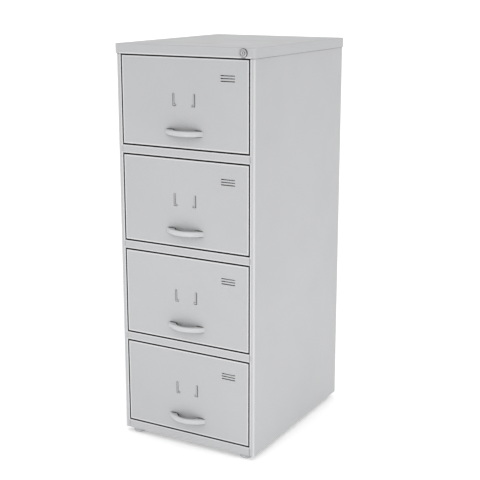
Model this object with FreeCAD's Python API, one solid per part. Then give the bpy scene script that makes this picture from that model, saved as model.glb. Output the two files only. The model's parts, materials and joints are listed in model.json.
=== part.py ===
import FreeCAD, Part
import math
import os
from FreeCAD import Vector

os.makedirs("parts", exist_ok=True)

# Four-drawer steel filing cabinet. Millimetres, +Z up, drawers open towards -Y.
# The origin is on the floor, under the middle of the whole object's box.
# Depths called "y" in the functions are measured back from the front plane of the posts.

# Carcass
WIDTH = 500.0               # over the side panels
DEPTH = 635.0               # front plane to the rear flanges
HEIGHT = 1320.0             # floor to the top of the cap
BODY_SHEET = 1.0            # steel of the carcass
CORNER_RADIUS = 4.0         # rounded front edges of the posts
FOLD_RADIUS = 1.0           # inside radius of the plain folds
POST_FACE = 16.7            # visible width of a front post
POST_BACK_CLEARANCE = 2.0   # post's fold reaches this far behind a drawer front
POST_LIP_GAP = 1.5          # between the post's lip and the side panel
REAR_FLANGE = 18.0
BACK_EDGE_GAP = 1.2         # back panel's edge to the side panel, clear of its fold

# Cap
CAP_SKIRT = 31.5
CAP_OVERHANG = 2.3
CAP_EDGE_CLEARANCE = 0.1    # cap's inside rounding clear of the side panels' top edges

# Rails across the front
DIVIDER_FACE = 27.5
BASE_FACE = 28.6
RAIL_SETBACK = 2.0          # rails end this far in front of the post's lip
BASE_RAIL_LIP = 10.0

# Floor pan and feet
PAN_FLANGE = 15.0
PAN_POST_GAP = 0.5
FOOT_HEIGHT = 17.0
FOOT_DIAMETER = 40.0
FOOT_EDGE_RADIUS = 3.0
FOOT_INSET_X = 41.0         # foot's centre from the side of the body
FOOT_INSET_Y = 24.5         # foot's centre from the front and rear planes
FOOT_SCREW_RADIUS = 4.0
FOOT_SCREW_GRIP = 9.0       # depth of the screw in the foot
FOOT_SCREW_HEAD_RADIUS = 7.5
FOOT_SCREW_HEAD_HEIGHT = 4.0
SCREW_CLEARANCE = 0.05

# Drawers
DRAWER_NAMES = ["top", "second", "third", "bottom"]
DRAWER_SHEET = 0.8
SIDE_GAP = 3.0              # at the sides of a drawer front
LEVEL_GAP = 4.0             # above and below a drawer front
FRONT_THICKNESS = 18.0      # outer front and inner front together
FRONT_EDGE_RADIUS = 2.0
INNER_FRONT_SETBACK = 4.0   # inner front's flanges stop short of the outer sheet
NEST_CLEARANCE = 0.1
TRAY_REAR_GAP = 27.0        # tray's end to the rear plane
TRAY_LIFT = 12.0            # tray above the lower edge of the front
TRAY_DROP = 16.0            # tray's rim below the upper edge of the front
RIM_WIDTH = 7.0
RIM_TURN = 7.0
FLOOR_HEIGHT = 10.0         # tray floor above the lower edge of its walls
BACK_INSET = 12.0
BACK_DROP = 30.0

# Runners, three members on each side of a drawer
RUNNER_THICKNESS = 12.7     # upright to tray wall
RUNNER_HEIGHT = 46.0
RUNNER_STEEL = 1.2
RUNNER_GAP = 0.3            # running gap between members
RUNNER_REAR_GAP = 45.0      # runner's end to the rear plane
RUNNER_CATCH_GAP = 3.7      # runner's start behind the drawer's catch
RUNNER_RISE = 82.0          # runner's middle above the lower edge of the front
RUNNER_LIP_GAP = 1.7        # lips of a member stop short of the far web
RUNNER_POST_CLEARANCE = 0.8

# Uprights
UPRIGHT_WEB = 40.0
UPRIGHT_FOOT = 12.0
FRONT_UPRIGHT_START = 57.0  # from the front plane
REAR_UPRIGHT_END = 75.0     # from the rear plane
UPRIGHT_TOP_GAP = 20.0

# Handle, a cast bow with a broad foot at each end
HANDLE_WIDTH = 139.0
HANDLE_REACH = 30.0
HANDLE_GRIP = 6.0           # thickness at the middle of the bow
HANDLE_GAP_WIDTH = 80.0     # between the feet
HANDLE_HEIGHT = 17.0
HANDLE_RISE = 49.0          # handle's middle above the lower edge of the front
HANDLE_EDGE_RADIUS = 2.0
LUG_INSET = 15.0            # lug's middle from the end of the handle
LUG_THICKNESS = 3.0
LUG_HEIGHT = 9.0
LUG_HEAD_LENGTH = 9.0
LUG_HEAD_THICKNESS = 2.0
LUG_CLEARANCE = 0.2

# Card clips lanced in each front
CLIP_SPACING = 80.0
CLIP_TOP = 112.0            # below the upper edge of the front
CLIP_HEIGHT = 38.0
CLIP_FOOT = 11.0
CLIP_SLOT = 2.0
CLIP_RIDGE = 3.0
CLIP_PROUD = 0.8

# Vent slots in each front
VENT_INSET = 73.3           # slot's middle from the side edge of the front
VENT_TOP = 50.0             # first slot's middle below the upper edge of the front
VENT_LENGTH = 50.0
VENT_WIDTH = 3.2
VENT_PITCH = 8.5
VENT_COUNT = 3

# Lock
LOCK_INSET = 38.0           # lock's axis from the side of the body
LOCK_RING_RADIUS = 12.5
LOCK_RING_PROUD = 4.5
LOCK_BARREL_RADIUS = 8.0
LOCK_BARREL_END = 13.0
LOCK_BORE_RADIUS = 6.0
PLUG_CLEARANCE = 0.05
PLUG_RECESS = 0.6
PLUG_STUB_RADIUS = 3.5
KEYWAY_WIDTH = 1.8
KEYWAY_HEIGHT = 8.0
KEYWAY_DEPTH = 10.0
LOCK_HOLE_CLEARANCE = 0.1
NUT_FLATS = 20.0
NUT_THICKNESS = 4.0
CAM_RADIUS = 9.0
CAM_THICKNESS = 1.6
CAM_GAP = 0.4
CAM_THROW = 7.0
CAM_PIN_RADIUS = 1.5
CAM_PIN_OVERRUN = 1.7       # pin beyond the bar

# Locking bar
BAR_GAP = 0.3
BAR_THICKNESS = 2.0
BAR_WIDTH = 9.0
BAR_EDGE_GAP = 0.3          # bar to its guides
BAR_POST_SETBACK = 3.2      # bar's inner edge from the post's opening face
BAR_FOOT_CLEARANCE = 20.0
BAR_TAB_REACH = 12.5
BAR_TAB_HEIGHT = 8.0
BAR_TAB_DROP = 84.0         # tab's lower edge below the upper edge of the front
YOKE_SLOT_SLACK = 1.7
YOKE_WALL = 1.8
YOKE_END_WALL = 5.0
GUIDE_STEEL = 1.2
GUIDE_HEIGHT = 30.0
GUIDE_DROP = 40.0           # guide's upper edge below the tab
CATCH_PLAY = 2.0            # between the tab and the drawer's catch
CATCH_THICKNESS = 2.0
CATCH_HEIGHT = 12.0
CATCH_REACH = 11.2
CATCH_DROP = 1.5            # catch's top below the raised tab

# Values that follow from the driving dimensions
HALF_WIDTH = WIDTH / 2
CAP_RADIUS = CAP_OVERHANG - CAP_EDGE_CLEARANCE
BODY_BOTTOM = FOOT_HEIGHT
CAP_UNDER = HEIGHT - BODY_SHEET
SKIRT_BOTTOM = HEIGHT - CAP_SKIRT
BASE_RAIL_TOP = BODY_BOTTOM + BASE_FACE
DRAWER_COUNT = len(DRAWER_NAMES)
DIVIDER_COUNT = DRAWER_COUNT - 1
FRONTS_TOTAL = SKIRT_BOTTOM - BASE_RAIL_TOP - DIVIDER_COUNT * DIVIDER_FACE - 2 * DRAWER_COUNT * LEVEL_GAP
FRONT_HEIGHT = FRONTS_TOTAL / DRAWER_COUNT
DRAWER_PITCH = FRONT_HEIGHT + 2 * LEVEL_GAP + DIVIDER_FACE
OPENING_HALF = HALF_WIDTH - POST_FACE
FRONT_HALF = OPENING_HALF - SIDE_GAP
RUNNER_FACE = OPENING_HALF - RUNNER_POST_CLEARANCE
WALL_FACE = RUNNER_FACE - RUNNER_THICKNESS
LOCK_X = HALF_WIDTH - LOCK_INSET
LOCK_Z = SKIRT_BOTTOM + CAP_SKIRT / 2
POST_DEPTH = FRONT_THICKNESS + POST_BACK_CLEARANCE
RAIL_DEPTH = POST_DEPTH - RAIL_SETBACK
TRAY_END = DEPTH - TRAY_REAR_GAP
VENT_X = FRONT_HALF - VENT_INSET
FRONT_Y = HANDLE_REACH - (HANDLE_REACH + DEPTH + CAP_OVERHANG) / 2
BAR_FRONT = POST_DEPTH + BAR_GAP
BAR_BACK = BAR_FRONT + BAR_THICKNESS
BAR_INNER = OPENING_HALF + BAR_POST_SETBACK
BAR_OUTER = BAR_INNER + BAR_WIDTH
BAR_TAB_RISE = FRONT_HEIGHT - BAR_TAB_DROP
CATCH_FRONT = BAR_BACK + CATCH_PLAY
RUNNER_START = CATCH_FRONT + CATCH_THICKNESS + RUNNER_CATCH_GAP
RUNNER_END = DEPTH - RUNNER_REAR_GAP


def save(node, shapes):
    """Writes one sub-part, moved back from the front plane to its place."""
    solids = []
    for shape in shapes:
        solids.extend(shape.removeSplitter().Solids)
    shape = solids[0] if len(solids) == 1 else Part.makeCompound(solids)
    shape.translate(Vector(0, FRONT_Y, 0))
    assert shape.isValid(), node
    shape.exportStep(os.path.join("parts", node + ".step"))
    print(node, len(solids), [round(solid.Volume) for solid in solids])


def box(x0, x1, y0, y1, z0, z1):
    return Part.makeBox(x1 - x0, y1 - y0, z1 - z0, Vector(x0, y0, z0))


def rod(radius, y0, y1, x, z):
    """A cylinder along Y."""
    return Part.makeCylinder(radius, y1 - y0, Vector(x, y0, z), Vector(0, 1, 0))


def post(radius, z0, z1, x, y):
    """A cylinder along Z."""
    return Part.makeCylinder(radius, z1 - z0, Vector(x, y, z0))


def mirrored(shape):
    return shape.mirror(Vector(0, 0, 0), Vector(1, 0, 0))


def slot(length, width, y0, y1, x, z):
    """A round-ended horizontal slot cut along Y."""
    half = (length - width) / 2
    middle = box(x - half, x + half, y0, y1, z - width / 2, z + width / 2)
    ends = [rod(width / 2, y0, y1, x + side * half, z) for side in (-1, 1)]
    return middle.fuse(ends)


def on_plane(edge, axis, value):
    """True when the whole edge lies on a plane square to an axis."""
    bounds = edge.BoundBox
    low = (bounds.XMin, bounds.YMin, bounds.ZMin)["XYZ".index(axis)]
    high = (bounds.XMax, bounds.YMax, bounds.ZMax)["XYZ".index(axis)]
    return abs(low - value) < 0.01 and abs(high - value) < 0.01


def rounded_box(bounds, radius, axis, value):
    """A box with every edge rounded but those on the plane of its open face."""
    shape = box(*bounds)
    edges = [edge for edge in shape.Edges if not on_plane(edge, axis, value)]
    return shape.makeFillet(radius, edges)


def pan(bounds, sheet, radius, axis, side):
    """A folded pan, open on one face: axis "Y" or "Z", side 0 for its low face or 1 for its high."""
    outer_index = 2 * "XYZ".index(axis) + side
    sign = 1 if side else -1
    inner = [value + sheet * (1, -1)[index % 2] for index, value in enumerate(bounds)]
    inner[outer_index] = bounds[outer_index] + sign * radius
    outer = rounded_box(bounds, radius, axis, bounds[outer_index])
    hollow = rounded_box(inner, radius - sheet, axis, inner[outer_index])
    return outer.cut(hollow)


def bend(corner, before, after, radius, offset):
    """The arc round one fold, at a distance to the left of the sheet's middle line."""
    into = Vector(corner[0] - before[0], corner[1] - before[1], 0).normalize()
    out = Vector(after[0] - corner[0], after[1] - corner[1], 0).normalize()
    turn = 1 if into.cross(out).z > 0 else -1
    half_angle = into.getAngle(out) / 2
    left = Vector(-into.y, into.x, 0)
    left_out = Vector(-out.y, out.x, 0)
    reach = radius * math.tan(half_angle)
    centre = Vector(corner[0], corner[1], 0) - into * reach + left * (turn * radius)
    size = radius - turn * offset
    start = centre - left * (turn * size)
    end = centre - left_out * (turn * size)
    middle_way = (left + left_out).normalize()
    middle = centre - middle_way * (turn * size)
    return start, middle, end


def sheet_side(path, radii, offset):
    """Points and arcs along one face of a folded sheet."""
    pieces = []
    first = Vector(path[1][0] - path[0][0], path[1][1] - path[0][1], 0).normalize()
    last = Vector(path[-1][0] - path[-2][0], path[-1][1] - path[-2][1], 0).normalize()
    pieces.append([Vector(path[0][0], path[0][1], 0) + Vector(-first.y, first.x, 0) * offset])
    for index in range(1, len(path) - 1):
        arc = bend(path[index], path[index - 1], path[index + 1], radii[index - 1], offset)
        pieces.append(list(arc))
    pieces.append([Vector(path[-1][0], path[-1][1], 0) + Vector(-last.y, last.x, 0) * offset])
    return pieces


def folded(path, sheet, radii, plane, start, end):
    """A folded sheet: its middle line drawn in a plane and pulled along the third axis.

    path holds the corners of the middle line, and radii one inside radius for each fold.
    """
    middle_radii = [radius + sheet / 2 for radius in radii]
    left = sheet_side(path, middle_radii, sheet / 2)
    right = sheet_side(path, middle_radii, -sheet / 2)
    outline = left + [piece[::-1] for piece in right[::-1]]

    def place(point):
        if plane == "XY":
            return Vector(point.x, point.y, start)
        if plane == "XZ":
            return Vector(point.x, start, point.y)
        return Vector(start, point.x, point.y)

    edges = []
    for index, piece in enumerate(outline):
        following = outline[(index + 1) % len(outline)]
        if len(piece) == 3:
            edges.append(Part.Arc(*[place(point) for point in piece]).toShape())
        edges.append(Part.LineSegment(place(piece[-1]), place(following[0])).toShape())
    face = Part.Face(Part.Wire(Part.__sortEdges__(edges)))
    way = {"XY": Vector(0, 0, 1), "XZ": Vector(0, 1, 0), "YZ": Vector(1, 0, 0)}[plane]
    return face.extrude(way * (end - start))


def front_bottom(index):
    """Height of the lower edge of a drawer front, counted from the top drawer."""
    return SKIRT_BOTTOM - LEVEL_GAP - FRONT_HEIGHT - index * DRAWER_PITCH


# ---- Carcass ----

def side_panel():
    """Right-hand side panel, folded into the front post and the rear flange."""
    half = BODY_SHEET / 2
    outer = HALF_WIDTH - half
    lip_end = HALF_WIDTH - BODY_SHEET - POST_LIP_GAP
    path = [
        (HALF_WIDTH - REAR_FLANGE, DEPTH - half),
        (outer, DEPTH - half),
        (outer, half),
        (OPENING_HALF + half, half),
        (OPENING_HALF + half, POST_DEPTH - half),
        (lip_end, POST_DEPTH - half),
    ]
    radii = [FOLD_RADIUS, CORNER_RADIUS - BODY_SHEET, FOLD_RADIUS, FOLD_RADIUS]
    return folded(path, BODY_SHEET, radii, "XY", BODY_BOTTOM, CAP_UNDER)


def back_panel():
    half_width = HALF_WIDTH - BODY_SHEET - BACK_EDGE_GAP
    rear = DEPTH - BODY_SHEET
    return box(-half_width, half_width, rear - BODY_SHEET, rear, BODY_BOTTOM, CAP_UNDER)


def foot_places():
    x = HALF_WIDTH - FOOT_INSET_X
    for y in (FOOT_INSET_Y, DEPTH - FOOT_INSET_Y):
        for side in (-1, 1):
            yield side * x, y


def base_panel():
    """Floor pan: flanged at the sides and rear, notched round the front posts."""
    inner = HALF_WIDTH - BODY_SHEET
    front = POST_DEPTH + PAN_POST_GAP
    rear = DEPTH - 2 * BODY_SHEET
    top = BODY_BOTTOM + BODY_SHEET
    flange_top = BODY_BOTTOM + PAN_FLANGE
    plate = box(-inner, inner, front, rear, BODY_BOTTOM, top)
    tongue_half = OPENING_HALF - PAN_POST_GAP
    tongue = box(-tongue_half, tongue_half, BODY_SHEET, front, BODY_BOTTOM, top)
    left = box(-inner, BODY_SHEET - inner, front, rear, top, flange_top)
    right = box(inner - BODY_SHEET, inner, front, rear, top, flange_top)
    back = box(BODY_SHEET - inner, inner - BODY_SHEET, rear - BODY_SHEET, rear, top, flange_top)
    shape = plate.fuse([tongue, left, right, back])
    hole = FOOT_SCREW_RADIUS + SCREW_CLEARANCE
    holes = [post(hole, BODY_BOTTOM - 1, top + 1, x, y) for x, y in foot_places()]
    return shape.cut(holes)


def top_cap():
    reach = HALF_WIDTH + CAP_OVERHANG
    bounds = [-reach, reach, -CAP_OVERHANG, DEPTH + CAP_OVERHANG, SKIRT_BOTTOM, HEIGHT]
    shape = pan(bounds, BODY_SHEET, CAP_RADIUS, "Z", 0)
    return shape.cut(lock_hole())


def lock_hole():
    return rod(LOCK_BARREL_RADIUS + LOCK_HOLE_CLEARANCE, -RAIL_DEPTH, RAIL_DEPTH / 2, LOCK_X, LOCK_Z)


def front_rail(z0, z1):
    """A channel across the front, open to the rear."""
    half = BODY_SHEET / 2
    path = [(RAIL_DEPTH, z0 + half), (half, z0 + half), (half, z1 - half), (RAIL_DEPTH, z1 - half)]
    return folded(path, BODY_SHEET, [FOLD_RADIUS] * 2, "YZ", -OPENING_HALF, OPENING_HALF)


def base_rail():
    half = BODY_SHEET / 2
    top = BASE_RAIL_TOP - half
    path = [
        (half, BODY_BOTTOM),
        (half, top),
        (RAIL_DEPTH - half, top),
        (RAIL_DEPTH - half, BASE_RAIL_TOP - BASE_RAIL_LIP),
    ]
    return folded(path, BODY_SHEET, [FOLD_RADIUS] * 2, "YZ", -OPENING_HALF, OPENING_HALF)


def upright(y0):
    """Right-hand hat-section upright that carries the runners."""
    half = BODY_SHEET / 2
    panel = HALF_WIDTH - BODY_SHEET - half
    web = RUNNER_FACE + half
    y1 = y0 + UPRIGHT_WEB
    path = [
        (panel, y0 - UPRIGHT_FOOT),
        (panel, y0 + half),
        (web, y0 + half),
        (web, y1 - half),
        (panel, y1 - half),
        (panel, y1 + UPRIGHT_FOOT),
    ]
    bottom = BODY_BOTTOM + PAN_FLANGE
    return folded(path, BODY_SHEET, [FOLD_RADIUS] * 4, "XY", bottom, CAP_UNDER - UPRIGHT_TOP_GAP)


def foot(x, y):
    shape = post(FOOT_DIAMETER / 2, 0, FOOT_HEIGHT, x, y)
    edges = [edge for edge in shape.Edges if on_plane(edge, "Z", 0)]
    shape = shape.makeFillet(FOOT_EDGE_RADIUS, edges)
    hole = post(FOOT_SCREW_RADIUS + SCREW_CLEARANCE, FOOT_HEIGHT - FOOT_SCREW_GRIP, FOOT_HEIGHT + 1, x, y)
    return shape.cut(hole)


def foot_screw(x, y):
    seat = BODY_BOTTOM + BODY_SHEET
    shank = post(FOOT_SCREW_RADIUS, FOOT_HEIGHT - FOOT_SCREW_GRIP, seat, x, y)
    head = post(FOOT_SCREW_HEAD_RADIUS, seat, seat + FOOT_SCREW_HEAD_HEIGHT, x, y)
    edges = [edge for edge in head.Edges if on_plane(edge, "Z", seat + FOOT_SCREW_HEAD_HEIGHT)]
    return shank.fuse(head.makeFillet(FOOT_SCREW_HEAD_HEIGHT / 2, edges))


# ---- Runners ----

def runner_member(reach_in, reach_out, height, web_side):
    """Right-hand channel between two distances from the upright's face, its web on one of them."""
    half = RUNNER_STEEL / 2
    web = reach_in + half if web_side == "outer" else reach_out - half
    lip = reach_out if web_side == "outer" else reach_in
    top = height / 2 - half
    path = [
        (RUNNER_FACE - lip, top),
        (RUNNER_FACE - web, top),
        (RUNNER_FACE - web, -top),
        (RUNNER_FACE - lip, -top),
    ]
    return folded(path, RUNNER_STEEL, [FOLD_RADIUS] * 2, "XZ", RUNNER_START, RUNNER_END)


def runner_set():
    """Cabinet, middle and drawer members of one right-hand runner, about its middle height."""
    nest = RUNNER_STEEL + RUNNER_GAP
    heights = [RUNNER_HEIGHT - 2 * step * nest for step in range(3)]
    outer_lip = RUNNER_THICKNESS - RUNNER_STEEL - RUNNER_LIP_GAP
    middle_lip = RUNNER_THICKNESS - RUNNER_STEEL - RUNNER_GAP
    cabinet = runner_member(0, outer_lip, heights[0], "outer")
    middle = runner_member(nest, middle_lip, heights[1], "outer")
    drawer = runner_member(2 * nest, RUNNER_THICKNESS, heights[2], "inner")
    return cabinet, middle, drawer


def lifted(shape, z):
    copy = shape.copy()
    copy.translate(Vector(0, 0, z))
    return copy


# ---- Drawers ----

def clip_shape(side, width, y0, y1, offset):
    """One L of a card clip: an upright leg and a foot that points to the middle."""
    x = side * (CLIP_SPACING / 2 - offset)
    top = FRONT_HEIGHT - CLIP_TOP
    bottom = top - CLIP_HEIGHT + offset
    inward = x - side * (CLIP_FOOT - offset)
    leg = box(x - width / 2, x + width / 2, y0, y1, bottom - width / 2, top)
    low, high = sorted((x + side * width / 2, inward))
    toe = box(low, high, y0, y1, bottom - width / 2, bottom + width / 2)
    return leg.fuse(toe)


def bow(width, reach):
    """A segment of a circle in plan, flat side on the front plane, as high as the handle."""
    half = width / 2
    radius = (half * half + reach * reach) / (2 * reach)
    z0 = HANDLE_RISE - HANDLE_HEIGHT / 2
    z1 = HANDLE_RISE + HANDLE_HEIGHT / 2
    return post(radius, z0, z1, 0, radius - reach).common(box(-radius, radius, -reach - 1, 0, z0, z1))


def lug_box(clearance, y0, y1):
    """Upright box through the front at the right-hand lug."""
    x = HANDLE_WIDTH / 2 - LUG_INSET
    half_x = LUG_THICKNESS / 2 + clearance
    half_z = LUG_HEIGHT / 2 + clearance
    return box(x - half_x, x + half_x, y0, y1, HANDLE_RISE - half_z, HANDLE_RISE + half_z)


def handle():
    """Bow with two lugs through the front, headed over behind it, about the front's lower edge."""
    shape = bow(HANDLE_WIDTH, HANDLE_REACH).cut(bow(HANDLE_GAP_WIDTH, HANDLE_REACH - HANDLE_GRIP))
    z0 = HANDLE_RISE - HANDLE_HEIGHT / 2
    z1 = HANDLE_RISE + HANDLE_HEIGHT / 2
    level = [edge for edge in shape.Edges if on_plane(edge, "Z", z0) or on_plane(edge, "Z", z1)]
    round_edges = [edge for edge in level if not on_plane(edge, "Y", 0)]
    shape = shape.makeFillet(HANDLE_EDGE_RADIUS, round_edges)
    back = DRAWER_SHEET + LUG_HEAD_THICKNESS
    stem = lug_box(0, 0, back)
    x = HANDLE_WIDTH / 2 - LUG_INSET
    half = LUG_HEAD_LENGTH / 2
    half_z = LUG_HEIGHT / 2
    head = box(x - half, x + half, DRAWER_SHEET, back, HANDLE_RISE - half_z, HANDLE_RISE + half_z)
    lug = stem.fuse(head)
    return shape.fuse([lug, mirrored(lug)])


def outer_front():
    """Drawer front pan with its card clips, vent slots and handle slots, from its lower edge."""
    depth = FRONT_THICKNESS - DRAWER_SHEET
    bounds = [-FRONT_HALF, FRONT_HALF, 0, depth, 0, FRONT_HEIGHT]
    shape = pan(bounds, DRAWER_SHEET, FRONT_EDGE_RADIUS, "Y", 1)
    ridge_offset = (CLIP_SLOT + CLIP_RIDGE) / 2
    ridges = [clip_shape(side, CLIP_RIDGE, -CLIP_PROUD, DRAWER_SHEET / 2, ridge_offset) for side in (-1, 1)]
    shape = shape.fuse(ridges)
    cuts = [clip_shape(side, CLIP_SLOT, -1, DRAWER_SHEET + 1, 0) for side in (-1, 1)]
    for row in range(VENT_COUNT):
        z = FRONT_HEIGHT - VENT_TOP - row * VENT_PITCH
        cuts.append(slot(VENT_LENGTH, VENT_WIDTH, -1, DRAWER_SHEET + 1, VENT_X, z))
    lug_slot = lug_box(LUG_CLEARANCE, -1, DRAWER_SHEET + 1)
    return shape.cut(cuts + [lug_slot, mirrored(lug_slot)])


def inner_front():
    """Stiffening pan nested in the outer front, open towards it."""
    inset = DRAWER_SHEET + NEST_CLEARANCE
    half = FRONT_HALF - inset
    bounds = [-half, half, INNER_FRONT_SETBACK, FRONT_THICKNESS, inset, FRONT_HEIGHT - inset]
    return pan(bounds, DRAWER_SHEET, FRONT_EDGE_RADIUS, "Y", 0)


def tray_wall():
    """Right-hand tray wall with its rim folded outwards to carry hanging files."""
    half = DRAWER_SHEET / 2
    web = WALL_FACE - half
    top = FRONT_HEIGHT - TRAY_DROP - half
    rim = WALL_FACE + RIM_WIDTH - half
    path = [(web, TRAY_LIFT), (web, top), (rim, top), (rim, top - RIM_TURN)]
    return folded(path, DRAWER_SHEET, [FOLD_RADIUS] * 2, "XZ", FRONT_THICKNESS, TRAY_END)


def catch():
    """Ear on the right-hand wall that the locking bar's tab drops in front of."""
    top = BAR_TAB_RISE - CATCH_DROP
    inner = WALL_FACE - DRAWER_SHEET / 2
    back = CATCH_FRONT + CATCH_THICKNESS
    return box(inner, WALL_FACE + CATCH_REACH, CATCH_FRONT, back, top - CATCH_HEIGHT, top)


def tray_floor():
    half = DRAWER_SHEET / 2
    side = WALL_FACE - DRAWER_SHEET - half
    z = TRAY_LIFT + FLOOR_HEIGHT - half
    path = [(-side, TRAY_LIFT), (-side, z), (side, z), (side, TRAY_LIFT)]
    return folded(path, DRAWER_SHEET, [FOLD_RADIUS] * 2, "XZ", FRONT_THICKNESS, TRAY_END)


def tray_back():
    half = DRAWER_SHEET / 2
    side = WALL_FACE - DRAWER_SHEET - half
    y = TRAY_END - BACK_INSET + half
    path = [(-side, TRAY_END), (-side, y), (side, y), (side, TRAY_END)]
    top = FRONT_HEIGHT - TRAY_DROP - BACK_DROP
    return folded(path, DRAWER_SHEET, [FOLD_RADIUS] * 2, "XY", TRAY_LIFT + FLOOR_HEIGHT, top)


# ---- Lock ----

def lock_housing():
    face = -CAP_OVERHANG
    ring = rod(LOCK_RING_RADIUS, face - LOCK_RING_PROUD, face, LOCK_X, LOCK_Z)
    edges = [edge for edge in ring.Edges if on_plane(edge, "Y", face - LOCK_RING_PROUD)]
    ring = ring.makeFillet(1.2, edges)
    barrel = rod(LOCK_BARREL_RADIUS, face, LOCK_BARREL_END, LOCK_X, LOCK_Z)
    bore = rod(LOCK_BORE_RADIUS, face - LOCK_RING_PROUD - 1, LOCK_BARREL_END + 1, LOCK_X, LOCK_Z)
    return ring.fuse(barrel).cut(bore)


def lock_nut():
    corner = NUT_FLATS / 2 / math.cos(math.pi / 6)
    points = []
    for step in range(7):
        angle = step * math.pi / 3
        x = LOCK_X + corner * math.cos(angle)
        z = LOCK_Z + corner * math.sin(angle)
        points.append(Vector(x, BODY_SHEET, z))
    body = Part.Face(Part.makePolygon(points)).extrude(Vector(0, NUT_THICKNESS, 0))
    hole = rod(LOCK_BARREL_RADIUS + SCREW_CLEARANCE, 0, 2 * NUT_THICKNESS, LOCK_X, LOCK_Z)
    return body.cut(hole)


def lock_plug():
    front = PLUG_RECESS - CAP_OVERHANG - LOCK_RING_PROUD
    body = rod(LOCK_BORE_RADIUS - PLUG_CLEARANCE, front, LOCK_BARREL_END, LOCK_X, LOCK_Z)
    stub = rod(PLUG_STUB_RADIUS, LOCK_BARREL_END, LOCK_BARREL_END + CAM_GAP + CAM_THICKNESS, LOCK_X, LOCK_Z)
    half = KEYWAY_WIDTH / 2
    keyway = box(
        LOCK_X - half, LOCK_X + half,
        front - 1, front + KEYWAY_DEPTH,
        LOCK_Z - KEYWAY_HEIGHT / 2, LOCK_Z + KEYWAY_HEIGHT / 2,
    )
    return body.fuse(stub).cut(keyway)


def lock_cam():
    y0 = LOCK_BARREL_END + CAM_GAP
    disc = rod(CAM_RADIUS, y0, y0 + CAM_THICKNESS, LOCK_X, LOCK_Z)
    hole = rod(PLUG_STUB_RADIUS + SCREW_CLEARANCE, y0 - 1, y0 + CAM_THICKNESS + 1, LOCK_X, LOCK_Z)
    pin = rod(CAM_PIN_RADIUS, y0, BAR_BACK + CAM_PIN_OVERRUN, LOCK_X, LOCK_Z + CAM_THROW)
    return disc.cut(hole).fuse(pin)


def lock_bar():
    """Flat bar with a slotted yoke over the cam's pin and a tab for each drawer."""
    z = LOCK_Z + CAM_THROW
    slot_half = CAM_PIN_RADIUS + YOKE_SLOT_SLACK
    yoke_half = slot_half + YOKE_WALL
    bottom = BODY_BOTTOM + PAN_FLANGE + BAR_FOOT_CLEARANCE
    bar = box(BAR_INNER, BAR_OUTER, BAR_FRONT, BAR_BACK, bottom, z + yoke_half)
    slot_start = LOCK_X - slot_half
    slot_end = LOCK_X + CAM_THROW + slot_half
    yoke = box(slot_start - YOKE_END_WALL, BAR_INNER, BAR_FRONT, BAR_BACK, z - yoke_half, z + yoke_half)
    shape = bar.fuse(yoke)
    tabs = []
    for index in range(DRAWER_COUNT):
        tab_z0 = front_bottom(index) + BAR_TAB_RISE
        tab_z1 = tab_z0 + BAR_TAB_HEIGHT
        tabs.append(box(BAR_INNER - BAR_TAB_REACH, BAR_INNER, BAR_FRONT, BAR_BACK, tab_z0, tab_z1))
    shape = shape.fuse(tabs)
    length = slot_end - slot_start
    return shape.cut(slot(length, 2 * slot_half, BAR_FRONT - 1, BAR_BACK + 1, (slot_start + slot_end) / 2, z))


def bar_guide(z0):
    """A bridge behind the post's lip that the locking bar runs in."""
    inner = BAR_INNER - BAR_EDGE_GAP - GUIDE_STEEL / 2
    outer = BAR_OUTER + BAR_EDGE_GAP + GUIDE_STEEL / 2
    back = BAR_BACK + BAR_GAP + GUIDE_STEEL / 2
    path = [(inner, POST_DEPTH), (inner, back), (outer, back), (outer, POST_DEPTH)]
    return folded(path, GUIDE_STEEL, [BAR_EDGE_GAP] * 2, "XY", z0, z0 + GUIDE_HEIGHT)


# ---- Build ----

def build_carcass():
    panel = side_panel()
    save("right_side_panel", [panel])
    save("left_side_panel", [mirrored(panel)])
    save("back_panel", [back_panel()])
    save("base_panel", [base_panel()])
    save("top_cap", [top_cap()])
    save("top_rail", [front_rail(SKIRT_BOTTOM, CAP_UNDER).cut(lock_hole())])
    save("base_rail", [base_rail()])
    for index, name in enumerate(["upper", "middle", "lower"]):
        z1 = front_bottom(index) - LEVEL_GAP
        save(name + "_divider_rail", [front_rail(z1 - DIVIDER_FACE, z1)])
    front = upright(FRONT_UPRIGHT_START)
    rear = upright(DEPTH - REAR_UPRIGHT_END - UPRIGHT_WEB)
    save("front_right_upright", [front])
    save("front_left_upright", [mirrored(front)])
    save("rear_right_upright", [rear])
    save("rear_left_upright", [mirrored(rear)])
    save("feet", [foot(x, y) for x, y in foot_places()])
    save("foot_screws", [foot_screw(x, y) for x, y in foot_places()])


def build_runners():
    cabinet, middle, drawer = runner_set()
    heights = [front_bottom(index) + RUNNER_RISE for index in range(DRAWER_COUNT)]
    save("right_cabinet_runners", [lifted(cabinet, z) for z in heights])
    save("left_cabinet_runners", [lifted(mirrored(cabinet), z) for z in heights])
    for name, z in zip(DRAWER_NAMES, heights):
        save(name + "_middle_runners", [lifted(mirrored(middle), z), lifted(middle, z)])
        save(name + "_drawer_runners", [lifted(mirrored(drawer), z), lifted(drawer, z)])


def build_drawers():
    wall = tray_wall()
    parts = {
        "front": outer_front(),
        "inner_front": inner_front(),
        "handle": handle(),
        "left_wall": mirrored(wall),
        "right_wall": wall.fuse(catch()),
        "floor": tray_floor(),
        "back": tray_back(),
    }
    for index, name in enumerate(DRAWER_NAMES):
        for part, shape in parts.items():
            save(name + "_drawer_" + part, [lifted(shape, front_bottom(index))])


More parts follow.
